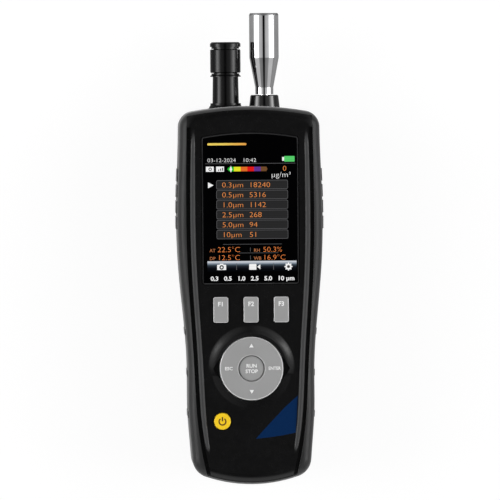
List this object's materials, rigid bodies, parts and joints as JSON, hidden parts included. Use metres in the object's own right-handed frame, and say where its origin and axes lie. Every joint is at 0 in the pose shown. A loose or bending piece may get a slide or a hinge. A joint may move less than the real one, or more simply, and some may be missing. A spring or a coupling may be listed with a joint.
{
  "type": "airborne particle counter",
  "caption": "Handheld airborne particle counter with a colour display, keypad, pull-off steel sampling probe and a rotary-shuttered temperature and humidity sensor.",
  "frame": {"origin": "middle of the bounding box's base, on the plane that the back lies on", "axes": "+X to the right as seen from the front, +Y towards the probe, +Z the way the display faces (up as it lies on its back)"},
  "size_m": [0.075, 0.24, 0.057],
  "materials": {
    "black_housing": "fine textured moulding",
    "black_rubber": "satin moulded rubber",
    "black_gloss": "semi-gloss turned plastic",
    "screw_steel": "plated",
    "window_black_glass": "polished black window",
    "foam": "matt",
    "display_panel": "display glass",
    "grey_key": "satin moulded silicone",
    "yellow_key": "satin moulded silicone",
    "white_nylon": "matt moulding",
    "circuit_board": "solder mask",
    "black_component": "moulded",
    "anodised_block": "black anodised",
    "brass_part": "turned",
    "silicone_tube": "translucent silicone",
    "polished_steel": "polished stainless steel",
    "clear_lens": "polished dark lens",
    "lamp_lens": "clear lamp lens",
    "battery_wrap": "shrink wrap"
  },
  "bodies": {
    "housing": {"front_shell": "black_housing", "rear_shell": "black_housing", "battery_door": "black_housing", "front_boot": "black_rubber", "rear_boot": "black_rubber", "battery_door_screw": "screw_steel", "case_screws": "screw_steel", "display_window": "window_black_glass", "lcd_gasket": "foam", "lcd_module": "display_panel", "keypad_membrane": "foam", "keypad_board": "circuit_board", "main_board": "circuit_board", "port_board": "circuit_board", "buzzer": "black_component", "optical_chamber": "anodised_block", "laser_module": "brass_part", "photodetector": "screw_steel", "inlet_tube": "silicone_tube", "flow_tube": "silicone_tube", "exhaust_tube": "silicone_tube", "air_pump": "black_component", "exhaust_filter": "white_nylon", "inlet_boss": "black_gloss", "inlet_spigot": "polished_steel", "probe_o_ring": "foam", "sensor_stem": "black_gloss", "sensor_cap": "black_gloss", "humidity_sensor": "white_nylon", "tripod_insert": "brass_part", "camera_window": "clear_lens", "camera_module": "black_component", "lamp": "lamp_lens", "battery_pack": "battery_wrap", "usb_socket": "screw_steel", "card_socket": "screw_steel", "dc_jack": "black_component"},
    "key_f1": {"key_f1": "grey_key"},
    "key_f2": {"key_f2": "grey_key"},
    "key_f3": {"key_f3": "grey_key"},
    "power_button": {"power_button": "yellow_key"},
    "run_stop_button": {"run_stop_button": "grey_key"},
    "dpad_gimbal": {"dpad_gimbal": "white_nylon"},
    "dpad_ring": {"dpad_ring": "grey_key"},
    "isokinetic_probe": {"isokinetic_probe": "polished_steel"},
    "sensor_sleeve": {"sensor_sleeve": "black_gloss"},
    "port_flap": {"port_flap": "black_rubber"}
  },
  "joints": [
    {"name": "key_f1_press", "type": "slide", "parent": "housing", "child": "key_f1", "axis": [0, 0, -1], "range_m": [0, 0.0008], "stiffness_N_per_m": 600},
    {"name": "key_f2_press", "type": "slide", "parent": "housing", "child": "key_f2", "axis": [0, 0, -1], "range_m": [0, 0.0008], "stiffness_N_per_m": 600},
    {"name": "key_f3_press", "type": "slide", "parent": "housing", "child": "key_f3", "axis": [0, 0, -1], "range_m": [0, 0.0008], "stiffness_N_per_m": 600},
    {"name": "power_press", "type": "slide", "parent": "housing", "child": "power_button", "axis": [0, 0, -1], "range_m": [0, 0.0008], "stiffness_N_per_m": 600},
    {"name": "run_stop_press", "type": "slide", "parent": "housing", "child": "run_stop_button", "axis": [0, 0, -1], "range_m": [0, 0.0008], "stiffness_N_per_m": 600},
    {"name": "dpad_up_down", "type": "hinge", "parent": "housing", "child": "dpad_gimbal", "pos_m": [0, -0.0608, 0.0497], "axis": [1, 0, 0], "range_deg": [-2, 2], "stiffness_Nm_per_rad": 0.8},
    {"name": "dpad_left_right", "type": "hinge", "parent": "dpad_gimbal", "child": "dpad_ring", "pos_m": [0, -0.0608, 0.0497], "axis": [0, 1, 0], "range_deg": [-2, 2], "stiffness_Nm_per_rad": 0.8},
    {"name": "probe_pull", "type": "slide", "parent": "housing", "child": "isokinetic_probe", "axis": [0, 1, 0], "range_m": [0, 0.012]},
    {"name": "sensor_sleeve_turn", "type": "hinge", "parent": "housing", "child": "sensor_sleeve", "pos_m": [-0.0115, 0.0956, 0.03], "axis": [0, -1, 0], "range_deg": [0, 30]},
    {"name": "port_flap_open", "type": "hinge", "parent": "housing", "child": "port_flap", "pos_m": [0, -0.12, 0.0105], "axis": [1, 0, 0], "range_deg": [0, 100]}
  ]
}
